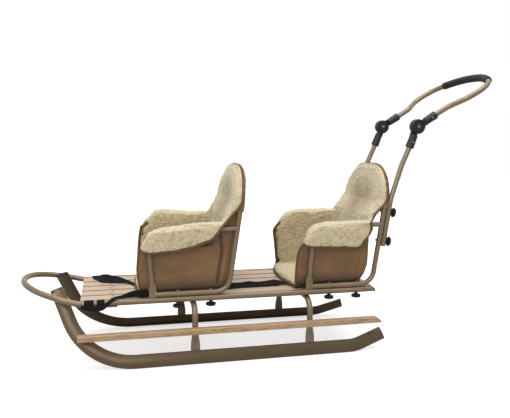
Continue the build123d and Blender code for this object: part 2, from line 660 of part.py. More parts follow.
# Upper loop and its foam grip, in a plane through the pivot line
grip_half = PIVOT_HALF_WIDTH - GRIP_INSET
LOOP_SHAPE = (
    # reach from the pivot, half width, bend radius
    (134.0, PIVOT_HALF_WIDTH, 45.0), (195.0, PIVOT_HALF_WIDTH + 51.0, 80.0),
    (282.6, PIVOT_HALF_WIDTH + 64.8, 90.0), (LOOP_REACH, grip_half, GRIP_ARC * grip_half),
)
GRIP_FROM = (318.0, PIVOT_HALF_WIDTH + 3.5)


def loop_point(reach, y):
    return (PIVOT_X + reach * loop_dx, y, PIVOT_Z + reach * loop_dz)


left_loop = [loop_point(r, -w) for r, w, bend in LOOP_SHAPE]
right_loop = [(x, -y, z) for x, y, z in reversed(left_loop)]
bends = [bend for r, w, bend in LOOP_SHAPE]
loop_path = wire_of(
    [loop_point(SLEEVE_FROM + 12, -PIVOT_HALF_WIDTH)] + left_loop + right_loop
    + [loop_point(SLEEVE_FROM + 12, PIVOT_HALF_WIDTH)],
    bends + bends[::-1],
)
keep("push_loop", rod(loop_path, LOOP_TUBE))
reach, half = GRIP_FROM
grip_path = wire_of(
    (loop_point(reach, -half), left_loop[-1], right_loop[0], loop_point(reach, half)),
    (bends[-1], bends[-1]),
)
keep("push_grip", rod(grip_path, GRIP_DIAMETER) - rod(grip_path, LOOP_TUBE + 2 * GAP))

# Webbing: rings round the deck tubes at the front and straps that lie along the slats
STRAP_WALL = 2.2
strap_z = slat_top + GAP
RINGS = (
    # x, width, side
    (-541.0, 30.0, -1), (-504.0, 24.0, -1), (-524.0, 28.0, 1),
)
for ring_x, width, side in RINGS:
    at = (ring_x - width / 2, side * DECK_HALF_WIDTH, DECK_Z)
    ring = pin(*at, (1, 0, 0), tube_r + GAP + STRAP_WALL, width)
    ring -= pin(*at, (1, 0, 0), tube_r + GAP, width)
    keep("tow_strap_rings", ring)
STRAPS = (
    # name, width, centre line in plan, height above the slats along x
    (
        "tow_strap_left", 34.0,
        ((-486.0, -168.0), (-444.0, -154.0), (-400.0, -136.0), (-345.0, -116.0), (-67.0, -98.0),
         (18.0, -90.0), (67.0, -88.0), (120.0, -72.0), (165.0, -72.0)),
        ((-520.0, 3.6), (-440.0, 3.6), (-405.0, 0.0), (200.0, 0.0)),
    ),
    (
        "tow_strap_right", 30.0,
        ((-512.0, 156.0), (-470.0, 124.0), (-425.0, 62.0), (-395.0, 0.0), (-372.0, -70.0)),
        ((-540.0, 6.0), (-505.0, 9.0), (-470.0, 7.0), (-432.0, 0.0), (-300.0, 0.0)),
    ),
)
for strap_name, width, line, heights in STRAPS:
    left_edge = []
    right_edge = []
    for i, (x, y) in enumerate(line):
        before = line[max(0, i - 1)]
        after = line[min(len(line) - 1, i + 1)]
        way = Vector(after[0] - before[0], after[1] - before[1], 0).normalized()
        left_edge.append((x - way.Y * width / 2, y + way.X * width / 2))
        right_edge.append((x + way.Y * width / 2, y - way.X * width / 2))
    shape = make_face(Polyline(*left_edge, *reversed(right_edge), close=True))
    under = [(x, strap_z + h) for x, h in heights]
    over = [(x, strap_z + h + STRAP_WALL) for x, h in reversed(heights)]
    ribbon = plate(under + over, -260, 260) & (Pos(0, 0, 150) * extrude(shape, amount=150))
    keep(strap_name, ribbon)

for node, shapes in nodes.items():
    whole = shapes[0] if len(shapes) == 1 else Compound(children=[
        s if isinstance(s, Solid) else s.solid() for s in shapes])
    export_step(Pos(FRAME_SHIFT, 0, 0) * whole, "parts/%s.step" % node)
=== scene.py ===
import json
import math

import bpy
from mathutils import Matrix, Vector, noise


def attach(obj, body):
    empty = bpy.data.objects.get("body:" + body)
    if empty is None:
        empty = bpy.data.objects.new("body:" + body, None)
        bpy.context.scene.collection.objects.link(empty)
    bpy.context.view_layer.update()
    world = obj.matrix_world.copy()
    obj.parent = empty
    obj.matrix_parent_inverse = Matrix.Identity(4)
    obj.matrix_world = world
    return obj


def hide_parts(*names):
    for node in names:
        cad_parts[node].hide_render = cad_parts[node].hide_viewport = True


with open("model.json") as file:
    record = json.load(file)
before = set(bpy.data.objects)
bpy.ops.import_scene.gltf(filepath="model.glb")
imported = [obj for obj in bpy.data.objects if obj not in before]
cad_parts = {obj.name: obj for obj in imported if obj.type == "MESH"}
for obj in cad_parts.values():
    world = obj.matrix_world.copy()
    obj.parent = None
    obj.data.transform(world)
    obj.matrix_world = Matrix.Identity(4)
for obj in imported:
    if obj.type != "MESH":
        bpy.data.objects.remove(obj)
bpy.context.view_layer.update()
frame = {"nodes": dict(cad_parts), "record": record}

# Camera: solved from the straight rails, slats and leg feet
CAMERA_AT = (-0.54505, -2.20876, 0.77242)
SENSOR_WIDTH = 36
LENS = 44.06
YAW = math.radians(13.12)
PITCH = math.radians(7.21)
ROLL = math.radians(0.33)
look = Vector((math.sin(YAW) * math.cos(PITCH), math.cos(YAW) * math.cos(PITCH), -math.sin(PITCH)))
level_right = Vector((math.cos(YAW), -math.sin(YAW), 0))
level_up = level_right.cross(look)
right = level_right * math.cos(ROLL) + level_up * math.sin(ROLL)
up = level_up * math.cos(ROLL) - level_right * math.sin(ROLL)
bpy.ops.object.select_all(action="DESELECT")
bpy.ops.object.camera_add()
camera = bpy.context.object
camera.name = "camera"
turn = Matrix((right, up, -look)).transposed().to_4x4()
camera.matrix_world = Matrix.Translation(CAMERA_AT) @ turn
camera.data.sensor_width = SENSOR_WIDTH
camera.data.lens = LENS
bpy.context.scene.camera = camera


class Level:
    """A socket in a finish; Python's operators on it add Math nodes."""

    def __init__(self, finish, socket):
        self.finish = finish
        self.socket = socket

    def work(self, operation, first, second):
        return self.finish.node("ShaderNodeMath", {"operation": operation}, {0: first, 1: second})

    def __add__(self, other):
        return self.work("ADD", self, other)

    __radd__ = __add__

    def __sub__(self, other):
        return self.work("SUBTRACT", self, other)

    def __rsub__(self, other):
        return self.work("SUBTRACT", other, self)

    def __mul__(self, other):
        return self.work("MULTIPLY", self, other)

    __rmul__ = __mul__

    def at_least(self, other):
        return self.work("MAXIMUM", self, other)


class Finish:
    """A material with its nodes."""

    def __init__(self, name, tree=None):
        if tree is None:
            self.material = bpy.data.materials.new(name)
            self.material.use_nodes = True
            tree = self.material.node_tree
            self.shader = tree.nodes["Principled BSDF"]
        self.tree = tree

    def node(self, kind, settings, inputs, output=0):
        made = self.tree.nodes.new(kind)
        for key, value in settings.items():
            if key == "stops":
                ramp = made.color_ramp
                while len(ramp.elements) < len(value):
                    ramp.elements.new(0.5)
                for stop, (place, colour) in zip(ramp.elements, value):
                    stop.position = place
                    stop.color = (*colour, 1)
            else:
                setattr(made, key, value)
        for key, value in inputs.items():
            if isinstance(value, Level):
                self.tree.links.new(value.socket, made.inputs[key])
            else:
                made.inputs[key].default_value = value
        return Level(self, made.outputs[output])

    def place(self, scale=(1, 1, 1), turn=(0, 0, 0)):
        at = self.node("ShaderNodeTexCoord", {}, {}, "Object")
        return self.node("ShaderNodeMapping", {}, {"Vector": at, "Scale": scale, "Rotation": turn})

    def grain(self, place, scale, detail=2.0, rough=0.5, bend=0.0):
        return self.node("ShaderNodeTexNoise", {}, {
            "Vector": place, "Scale": scale, "Detail": detail, "Roughness": rough, "Distortion": bend})

    def cells(self, place, scale, feature="SMOOTH_F1"):
        return self.node("ShaderNodeTexVoronoi", {"feature": feature}, {"Vector": place, "Scale": scale})

    def bands(self, place, way, scale, bend, **more):
        """Even bands across one axis; more names other inputs of the node."""
        return self.node(
            "ShaderNodeTexWave", {"wave_type": "BANDS", "bands_direction": way},
            {"Vector": place, "Scale": scale, "Distortion": bend,
             **{key.replace("_", " "): value for key, value in more.items()}}, "Fac")

    def marked(self, name):
        """A level that the mesh itself carries."""
        return self.node("ShaderNodeAttribute", {"attribute_name": name}, {}, "Fac")

    def ramp(self, level, *stops):
        return self.node("ShaderNodeValToRGB", {"stops": stops}, {"Fac": level})

    def mix(self, share, first, second, way="MIX"):
        return self.node(
            "ShaderNodeMix", {"data_type": "RGBA", "blend_type": way},
            {0: share, 6: first, 7: second}, 2)

    def bump(self, height, depth, strength=1.0, under=None):
        inputs = {"Height": height, "Distance": depth, "Strength": strength}
        if under is not None:
            inputs["Normal"] = under
        return self.node("ShaderNodeBump", {}, inputs)

    def wire(self, **inputs):
        for key, value in inputs.items():
            socket = self.shader.inputs[key.replace("_", " ")]
            if isinstance(value, Level):
                self.tree.links.new(value.socket, socket)
            else:
                socket.default_value = value
        return self.material


def paint(red, green, blue):
    """Screen colour from 0 to 1 as the renderer's own."""
    return tuple(
        v / 12.92 if v <= 0.04045 else ((v + 0.055) / 1.055) ** 2.4 for v in (red, green, blue))


def colour(red, green, blue):
    return (*paint(red, green, blue), 1)


# Light, floor and backdrop
bpy.context.scene.view_settings.view_transform = "Standard"
world = bpy.data.worlds.new("studio")
world.use_nodes = True
bpy.context.scene.world = world
air = Finish("studio", world.node_tree)
ray = air.node("ShaderNodeLightPath", {}, {}, "Is Camera Ray")
glance = air.node("ShaderNodeLightPath", {}, {}, "Is Glossy Ray")
white = ray.at_least(glance * 0.55)
glow = air.mix(white, (0.5, 0.5, 0.5, 1), (1, 1, 1, 1))
back = world.node_tree.nodes["Background"]
world.node_tree.links.new(glow.socket, back.inputs["Color"])


def lamp(name, at, aim, size, watts):
    bpy.ops.object.light_add(type="AREA", location=at)
    made = bpy.context.object
    made.name = name
    made.data.shape = "RECTANGLE"
    made.data.size = size[0]
    made.data.size_y = size[1]
    made.data.energy = watts
    made.rotation_euler = (Vector(aim) - Vector(at)).to_track_quat("-Z", "Y").to_euler()


lamp("top_light", (0, -0.3, 2.6), (0, 0, 0.3), (3.2, 2.2), 62)
lamp("front_light", (-1.2, -2.6, 1.9), (0, 0, 0.35), (1.6, 1.2), 26)

FLOOR_GREY = (0.62, 0.62, 0.62)
FLOOR_DROP = 0.001
bpy.ops.mesh.primitive_grid_add(x_subdivisions=4, y_subdivisions=4, size=14)
floor = bpy.context.object
floor.name = "floor"
floor.location.z = -FLOOR_DROP
bpy.ops.object.transform_apply(location=True)
ground = Finish("pale_floor")
ray = ground.node("ShaderNodeLightPath", {}, {}, "Is Camera Ray")
away = ground.node(
    "ShaderNodeVectorMath", {"operation": "LENGTH"}, {0: ground.place((0.25, 0.25, 0.25))}, "Value")
fade = ground.ramp(away, (0.16, FLOOR_GREY), (0.36, (1, 1, 1)))
plain = ground.node("ShaderNodeBsdfDiffuse", {}, {"Color": (*FLOOR_GREY, 1)})
ground.wire(
    Base_Color=(*FLOOR_GREY, 1), Roughness=1.0, Specular_IOR_Level=0.0, Emission_Color=fade,
    Emission_Strength=1.0)
lit = Level(ground, ground.shader.outputs[0])
seen = ground.node("ShaderNodeMixShader", {}, {0: ray, 1: plain, 2: lit})
end = ground.tree.nodes["Material Output"]
ground.tree.links.new(seen.socket, end.inputs["Surface"])
floor.data.materials.append(ground.material)


# Finishes
def lacquer(name, deep, light, metal):
    f = Finish(name)
    at = f.place()
    mottle = f.grain(at, 230, 2, 0.6)
    drift = f.grain(at, 7, 2)
    tone = f.ramp(mottle * 0.5 + drift * 0.5, (0.32, paint(*deep)), (0.7, paint(*light)))
    dents = f.bump(f.cells(at, 330), 0.0002, 0.35)
    return f.wire(
        Base_Color=tone, Metallic=metal, Roughness=mottle * 0.14 + 0.3, Coat_Weight=0.3,
        Coat_Roughness=0.25, Normal=dents)


def pine(name, light, deep, ring_scale, groove=0.0):
    """Varnished softwood; groove is half the pitch of the slats, whose sides and edges by the gaps are
    painted darker as shade.
    """
    f = Finish(name)
    along = f.place((0.9, 16, 16))
    streaks = f.grain(along, 9, 6, 0.62, 0.35)
    rings = f.bands(f.place((0.35, 1, 1.3)), "Y", ring_scale, 7, Detail=3, Detail_Scale=1.6)
    knots = f.cells(f.place((4.1, 9, 9)), 1.0, "F1")
    spot = f.ramp(knots, (0.02, (1, 1, 1)), (0.085, (0, 0, 0)))
    tone = f.ramp(
        streaks * 0.62 + rings * 0.38, (0.28, paint(*deep)), (0.5, paint(*light)),
        (0.8, paint(*[min(1, v * 1.05) for v in light])))
    body = f.mix(spot, tone, colour(*[v * 0.66 for v in deep]))
    if groove:
        # painted shade: darker toward each slat's sides, by the gaps between the slats
        across = f.node("ShaderNodeSeparateXYZ", {}, {"Vector": f.place()}, "Y")
        from_gap = (across + groove).work("PINGPONG", across + groove, groove)
        shade = f.ramp(from_gap * 30, (0.12, (0.10, 0.06, 0.035)), (0.21, (1, 1, 1)))
        body = f.mix(1.0, body, shade, "MULTIPLY")
    fibres = f.bump(streaks, 0.0003, 0.3)
    return f.wire(
        Base_Color=body, Roughness=streaks * 0.2 + 0.36, Coat_Weight=0.25, Coat_Roughness=0.3,
        Normal=fibres)


def nylon():
    f = Finish("brown_nylon")
    at = f.place()
    weave = f.bands(at, "X", 420, 0.4) * f.bands(at, "Z", 420, 0.4)
    drift = f.grain(at, 11, 3)
    tone = f.ramp(
        drift * 0.75 + weave * 0.25, (0.25, paint(0.418, 0.30, 0.167)),
        (0.5, paint(0.493, 0.367, 0.212)), (0.8, paint(0.56, 0.427, 0.264)))
    # painted shade: the fold mark darkens the nylon along the crease in the side walls and toward the
    # bottom of the cradle
    tone = f.mix(f.marked("fold"), tone, colour(0.19, 0.14, 0.08))
    # near black where the slot mark is, a thin band in the near wall
    tone = f.mix(f.marked("slot"), tone, colour(0.05, 0.04, 0.03))
    rumple = f.bump(f.grain(at, 22, 2, 0.5, 0.8), 0.006, 0.55)
    thread = f.bump(weave, 0.0003, 0.5, rumple)
    return f.wire(
        Base_Color=tone, Roughness=drift * 0.2 + 0.36, Sheen_Weight=0.2, Sheen_Roughness=0.35,
        Normal=thread)


def fleece():
    f = Finish("cream_fleece")
    at = f.place()
    swirl = f.grain(at, 60, 2, 0.5)
    bent = f.node(
        "ShaderNodeVectorMath", {"operation": "MULTIPLY_ADD"},
        {0: swirl, 1: (0.012, 0.012, 0.012), 2: at})
    curls = f.cells(bent, 105)
    tufts = f.grain(bent, 380, 3, 0.7)
    drift = f.grain(at, 8, 2)
    # depth is high at the curls' edges and varies with the tufts and a slow drift; the ramp darkens the
    # pile there, painted shade between the curls mixed with random tone
    depth = curls * 0.95 + tufts * 0.14 + drift * 0.25
    tone = f.ramp(
        depth, (0.30, paint(0.785, 0.738, 0.615)), (0.60, paint(0.755, 0.70, 0.562)),
        (0.90, paint(0.68, 0.61, 0.45)))
    # painted shade: where the mesh's shade mark is, the hood's middle, the walls' insides and the back
    # rest go toward dark tan
    body = f.mix(f.marked("hollow"), tone, f.mix(0.80, tone, colour(0.47, 0.375, 0.20)))
    body = f.mix(f.marked("seam"), body, colour(0.36, 0.30, 0.20))
    lumps = f.bump(1 - curls, 0.003, 0.55)
    hairs = f.bump(tufts, 0.0007, 0.45, lumps)
    return f.wire(
        Base_Color=body, Roughness=0.95, Sheen_Weight=0.35, Sheen_Roughness=0.6, Normal=hairs)


def woven(name, dark, light, scale, rough):
    f = Finish(name)
    at = f.place()
    ribs = f.bands(at, "DIAGONAL", scale, 0.6)
    wear = f.grain(at, 34, 3)
    tone = f.ramp(ribs * 0.5 + wear * 0.5, (0.3, paint(*dark)), (0.75, paint(*light)))
    return f.wire(
        Base_Color=tone, Roughness=wear * 0.2 + rough, Specular_IOR_Level=0.25,
        Normal=f.bump(ribs, 0.0005, 0.6))


def moulded(name, dark, light, rough, pores):
    f = Finish(name)
    at = f.place()
    skin = f.grain(at, pores, 2, 0.6)
    wear = f.grain(at, 60, 3)
    tone = f.ramp(wear * 0.7 + skin * 0.3, (0.3, paint(*dark)), (0.8, paint(*light)))
    return f.wire(
        Base_Color=tone, Roughness=skin * 0.25 + rough, Normal=f.bump(skin, 0.0003, 0.5))


def zinc():
    f = Finish("zinc_plate")
    at = f.place()
    spangle = f.cells(at, 420, "F1")
    return f.wire(
        Base_Color=f.ramp(spangle, (0.2, paint(0.40, 0.39, 0.37)), (0.8, paint(0.54, 0.53, 0.51))),
        Metallic=0.9, Roughness=spangle * 0.15 + 0.38, Normal=f.bump(spangle, 0.0002, 0.3))


LACQUER = lacquer("taupe_lacquer", (0.45, 0.38, 0.285), (0.545, 0.47, 0.365), 0.35)
# painted shade: the runners get a darker, more metallic copy of the frame's lacquer for how dark they look
# under the light
SHADED_RUNNER_LACQUER = lacquer("taupe_lacquer_painted_shade", (0.315, 0.25, 0.158), (0.388, 0.313, 0.21), 0.55)
PINE = pine("varnished_pine", (0.755, 0.66, 0.555), (0.67, 0.56, 0.45), 26, 0.033)
REST_PINE = pine("oiled_pine", (0.67, 0.55, 0.415), (0.59, 0.465, 0.335), 34)
NYLON = nylon()
FLEECE = fleece()
TAPE = woven("brown_binding", (0.36, 0.26, 0.17), (0.46, 0.345, 0.235), 900, 0.6)
WEBBING = woven("black_webbing", (0.015, 0.015, 0.015), (0.055, 0.052, 0.05), 500, 0.75)
PLASTIC = moulded("black_plastic", (0.015, 0.015, 0.017), (0.05, 0.05, 0.055), 0.36, 900)
FOAM = moulded("black_foam", (0.03, 0.03, 0.033), (0.075, 0.078, 0.085), 0.6, 1400)
ZINC = zinc()

finish_of = {
    "frame_paint": LACQUER, "wood": PINE, "nylon": NYLON, "fleece": FLEECE, "webbing": WEBBING,
    "black_plastic": PLASTIC, "foam": FOAM, "steel": ZINC,
}
for row in frame["record"]["subparts"]:
    node = frame["nodes"][row["node"]]
    node.data.materials.clear()
    node.data.materials.append(finish_of[row["material_slot"]])
for name in ("footrest_left", "footrest_right"):
    frame["nodes"][name].data.materials[0] = REST_PINE
# painted shade: the runners wear the darker copy of the frame lacquer
for name in ("runner_left", "runner_right"):
    frame["nodes"][name].data.materials[0] = SHADED_RUNNER_LACQUER


# Shared moves
SAME_POINT = 0.00005
CLOTH_THICK = 0.0014


def pick(piece):
    bpy.ops.object.select_all(action="DESELECT")
    piece.select_set(True)
    bpy.context.view_layer.objects.active = piece


def edit_mesh(piece, tool, **settings):
    """Runs one of Blender's mesh tools on the whole of a piece."""
    pick(piece)
    bpy.ops.object.mode_set(mode="EDIT")
    bpy.ops.mesh.select_all(action="SELECT")
    tool(**settings)
    bpy.ops.object.mode_set(mode="OBJECT")


def copy_of(node, name):
    """A merged copy of a CAD node's mesh as a new object."""
    piece = bpy.data.objects.new(name, frame["nodes"][node].data.copy())
    bpy.context.collection.objects.link(piece)
    edit_mesh(piece, bpy.ops.mesh.remove_doubles, threshold=SAME_POINT)
    return piece


def keep_above(piece, height):
    """Cuts off what lies below the height and closes the cut."""
    edit_mesh(
        piece, bpy.ops.mesh.bisect, plane_co=(0, 0, height), plane_no=(0, 0, 1), clear_inner=True,
        use_fill=True)


def shape_with(piece, kind, **settings):
    pick(piece)
    bpy.ops.object.modifier_add(type=kind)
    made = piece.modifiers[-1]
    for key, value in settings.items():
        setattr(made, key, value)
    bpy.ops.object.modifier_apply(modifier=made.name)


def smooth(piece):
    pick(piece)
    bpy.ops.object.shade_smooth()


def dress(piece, finish, slot, *nodes, body="sled"):
    piece.data.materials.clear()
    piece.data.materials.append(finish)
    if nodes:
        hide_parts(*nodes)
    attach(piece, body)
    return piece


def sew(piece, finish, slot, *nodes):
    """Gives a bent grid the thickness of cloth and its finish."""
    edit_mesh(piece, bpy.ops.mesh.normals_make_consistent, inside=False)
    shape_with(piece, "SOLIDIFY", thickness=CLOTH_THICK, offset=0)
    smooth(piece)
    dress(piece, finish, slot, *nodes)


def soften_edges(piece, width, segments, sharper_than):
    shape_with(
        piece, "BEVEL", width=width, segments=segments, limit_method="ANGLE",
        angle_limit=sharper_than)
    smooth(piece)


def join(piece, other):
    bpy.ops.object.select_all(action="DESELECT")
    other.select_set(True)
    piece.select_set(True)
    bpy.context.view_layer.objects.active = piece
    bpy.ops.object.join()


def swell(piece, height):
    """Moves each point along its normal by what the function gives for its place."""
    ways = [v.normal.copy() for v in piece.data.vertices]
    for v, way in zip(piece.data.vertices, ways):
        v.co = v.co + way * height(v.co)


def puff(piece, pressure, steps, room):
    """Inflates a closed cloth form; room gives how far each point may move from its place."""
    start = [v.co.copy() for v in piece.data.vertices]
    caps = [room(v.co, v.normal) for v in piece.data.vertices]
    pick(piece)
    bpy.ops.object.modifier_add(type="CLOTH")
    cloth = piece.modifiers[-1]
    cloth.settings.quality = 4
    cloth.settings.mass = 0.3
    cloth.settings.use_pressure = True
    cloth.settings.uniform_pressure_force = pressure
    cloth.settings.effector_weights.gravity = 0
    cloth.point_cache.frame_start = 1
    cloth.point_cache.frame_end = steps
    for step in range(1, steps + 1):
        bpy.context.scene.frame_set(step)
    bpy.ops.object.modifier_apply(modifier=cloth.name)
    for v, was, cap in zip(piece.data.vertices, start, caps):
        moved = v.co - was
        if moved.length > cap:
            v.co = was + moved.normalized() * cap
    bpy.context.scene.frame_set(1)


def along_table(table, at):
    """Value between the rows of a table of (place, value)."""
    if at <= table[0][0]:
        return table[0][1]
    for (a, low), (b, high) in zip(table, table[1:]):
        if at <= b:
            return low + (high - low) * (at - a) / (b - a)
    return table[-1][1]


def soft_line(points, count):
    """Points along a smooth line through the given ones."""
    ends = [points[0]] + list(points) + [points[-1]]
    made = []
    for i in range(len(points) - 1):
        a, b, c, d = (Vector(p) for p in ends[i:i + 4])
        for k in range(count):
            t = k / count
            made.append(0.5 * (
                2 * b + (c - a) * t + (2 * a - 5 * b + 4 * c - d) * t * t
                + (3 * b - 3 * c + d - a) * t ** 3))
    made.append(Vector(points[-1]))
    return made


def tube_along(name, points, radius):
    """Round tape or piping that follows the points."""
    bpy.ops.object.select_all(action="DESELECT")
    bpy.ops.curve.primitive_nurbs_path_add()
    line = bpy.context.object
    line.name = name
    line.data.splines.clear()
    spline = line.data.splines.new("NURBS")
    spline.points.add(len(points) - 1)
    for point, place in zip(spline.points, points):
        point.co = (*place, 1)
    spline.order_u = 3
    spline.use_endpoint_u = True
    line.data.dimensions = "3D"
    line.data.bevel_depth = radius
    line.data.bevel_resolution = 3
    line.data.resolution_u = 6
    line.data.use_fill_caps = True
    pick(line)
    bpy.ops.object.convert(target="MESH")
    piece = bpy.context.object
    edit_mesh(piece, bpy.ops.mesh.remove_doubles, threshold=0.00002)
    edit_mesh(piece, bpy.ops.mesh.normals_make_consistent, inside=False)
    smooth(piece)
    return piece


def grid_sheet(name, across, along, point):
    """A grid bent to the points that the function gives for 0 to 1 each way."""
    bpy.ops.object.select_all(action="DESELECT")
    bpy.ops.mesh.primitive_grid_add(x_subdivisions=across, y_subdivisions=along, size=2)
    piece = bpy.context.object
    piece.name = name
    for v in piece.data.vertices:
        v.co = point(v.co.x * 0.5 + 0.5, v.co.y * 0.5 + 0.5)
    return piece


# Seat covers, in metres. Heights are over the ground, y is across from the middle of the sled.
# Lengths along the sled were measured from another point, and SHIFT moves them to the frame's origin.
SHIFT = -0.07953
# The posts behind each seat start at SEAT_Z, bend up with the radius POST_BEND and lean back.
SEAT_Z = 0.2303
POST_BEND = 0.05
REAR_SLOPE = 0.148
ARM_Z = 0.443
# The nylon's cradle is a U: its floor, half its width, the radius of its corners and its front edge's top.
FLOOR_Z = 0.2234
HALF = 0.1652
CORNER = 0.024
FRONT_TOP = 0.437
# The nylon pocket over the top of the seat frame starts here.
POCKET_Z = 0.499
POCKET_BEHIND = 0.0018
# The hood: where it starts, the middle of its hollow, its top and how deep the solid pile of it is.
HOOD_FROM_Z = 0.456
HOOD_Z = 0.550
HOOD_TOP = 0.636
SOLID_DEPTH = 0.033
# The seam down the rear seat's back
SEAM_Y = 0.123
# The outermost places of the hood's seam: half its width, and the radius of its upper corners
HOOD_HALF = 0.187
HOOD_BEND = 0.147
# The pile: how fine its mesh is, how it is puffed, the most that it swells, its gap to the nylon behind it
FLEECE_CELL = 0.0052
FLEECE_PRESSURE = 4.0
FLEECE_STEPS = 20
MOST_SWELL = 0.0045
BEHIND_FLEECE = 0.0045
# Mesh of the nylon pocket, and the bindings round the cradle's front and along the outer edge
POCKET_CELL = 0.0032
RIM_RADIUS = 0.0036
EDGE_RADIUS = 0.0042
# front_x and rear_x are where the posts stand and lean is the slope of the front ones. tuck moves the
# back sheet behind the posts. pad is how far the seat pad reaches ahead, pad_back how far its pile stops
# short. tip draws the near and the far arm tip back, droop lets the flaps hang, rim is the depth of the
# hood's edge. reach_to is where, going up, the walls' pile stops following the nylon. Each table starts
# with a height: ahead is the most that the hood stands ahead of the posts, fold the place of the crease
# in the near wall, near_edge and far_edge the walls' front edge behind front_x, back_edge and back_mid
# how far the back sheet is ahead of the posts at its sides and in its middle.
SEATS = (
    {
        "name": "front", "front_x": -0.337 + SHIFT, "lean": -0.070, "rear_x": -0.083 + SHIFT,
        "tuck": 0.007, "pad": 0.049, "pad_back": 0.005, "tip": (0.015, 0.029), "droop": False,
        "rim": 0.019, "reach_to": (0.436, 0.412),
        "ahead": (
            (0.456, 0.062), (0.479, 0.041), (0.508, 0.027), (0.530, 0.022), (0.570, 0.021),
            (0.600, 0.017), (0.633, 0.012)),
        # the last key is 1 where the crease in the walls is painted dark as shade and the near wall gets
        # its near black band, 0 where not
        "fold": ((0.254, -0.122), (0.368, -0.102), (0.417, -0.108)), "crease_shade_and_slot": 1.0,
        "near_edge": (
            (0.247, -0.039), (0.280, -0.045), (0.315, -0.048), (0.350, -0.045), (0.372, -0.040),
            (0.396, -0.029), (0.424, -0.011), (0.437, 0.015)),
        "far_edge": (
            (0.247, -0.034), (0.314, -0.030), (0.372, -0.025), (0.411, -0.018), (0.437, 0.012)),
        "back_edge": ((0.215, 0.0097), (0.500, 0.0097)),
        "back_mid": ((0.215, 0.0097), (0.500, 0.0097)),
    },
    {
        "name": "rear", "front_x": 0.204 + SHIFT, "lean": 0.070, "rear_x": 0.439 + SHIFT,
        "tuck": 0.0, "pad": 0.057, "pad_back": 0.016, "tip": (0.0, 0.0), "droop": True,
        "rim": 0.013, "reach_to": (0.420, 0.385),
        "ahead": (
            (0.456, 0.062), (0.480, 0.043), (0.500, 0.029), (0.520, 0.018), (0.560, 0.014),
            (0.633, 0.012)),
        "fold": ((0.250, 0.385), (0.330, 0.398), (0.417, 0.412)), "crease_shade_and_slot": 0.0,
        "near_edge": (
            (0.247, -0.046), (0.300, -0.043), (0.319, -0.041), (0.350, -0.037), (0.372, -0.026),
            (0.396, 0.001), (0.424, 0.019), (0.437, 0.045)),
        "far_edge": (
            (0.247, -0.027), (0.321, -0.034), (0.381, -0.041), (0.400, -0.026), (0.424, 0.005),
            (0.437, 0.035)),
        "back_edge": (
            (0.215, 0.0477), (0.247, 0.0427), (0.265, 0.0317), (0.290, 0.0257), (0.307, 0.0250),
            (0.390, 0.0346), (0.437, 0.0440), (0.456, 0.0470), (0.487, 0.0250), (0.500, 0.0130)),
        "back_mid": (
            (0.215, 0.0477), (0.247, 0.0427), (0.265, 0.0317), (0.290, 0.0257), (0.390, 0.0337),
            (0.430, 0.0277), (0.480, 0.0097)),
    },
)
# The pile of a side wall lies between these distances from the middle
WALL_FROM_Y = 0.13
WALL_TO_Y = 0.166
# The arm rolls of pile: their inner side, the most height that they reach, the flaps that hang outside,
# and the flat top of the rear seat's near one
ROLL_FROM_Y = 0.14
ROLL_BELOW_Z = 0.48
FLAP_FROM_Y = 0.184
FLAT_ARM_Z = 0.4555
# Above the arm, by height, how far the nylon's edge is ahead of the post's middle line
WING = ((0.441, 0.052), (0.456, 0.050), (0.487, 0.027), (0.500, 0.016))


def rear_line(rear_x, z):
    """Middle line of a rear post."""
    return rear_x + REAR_SLOPE * (z - SEAT_Z)


def arm_tip(seat):
    """Where the front post meets the arm."""
    return seat["front_x"] + seat["lean"] * (ARM_Z - SEAT_Z)


def ease(low, high, value):
    """0 to 1, smoothly, as the value goes from low to high."""
    t = max(0.0, min(1.0, (value - low) / (high - low)))
    return t * t * (3 - 2 * t)


def back_line(seat, z, y=0.17):
    """Back of the cover; the front seat's reaches behind the posts and follows their bend."""
    side = ease(0.115, 0.160, abs(y))
    ahead = along_table(seat["back_edge"], z) * side + along_table(seat["back_mid"], z) * (1 - side)
    x = rear_line(seat["rear_x"], z) - ahead + seat["tuck"]
    if seat["tuck"] and z < 0.285:
        deep = min(0.0499, max(0.0, 0.2803 - z))
        x = min(x, seat["rear_x"] - 0.0432 + math.sqrt(POST_BEND ** 2 - deep ** 2) - 0.002)
    return x


def edge_x(seat, y, z):
    return seat["front_x"] + along_table(seat["near_edge"] if y < 0 else seat["far_edge"], z)


def front_line(seat, y, z):
    if z > FRONT_TOP:
        return rear_line(seat["rear_x"], z) - along_table(WING, z)
    side = edge_x(seat, y, z)
    if z > FLOOR_Z + CORNER:
        return side
    floor_edge = seat["front_x"] - seat["pad"] + 0.033 * (y / 0.215) ** 2
    share = max(0.0, (z - FLOOR_Z) / CORNER)
    return floor_edge + (side - floor_edge) * share ** 1.5


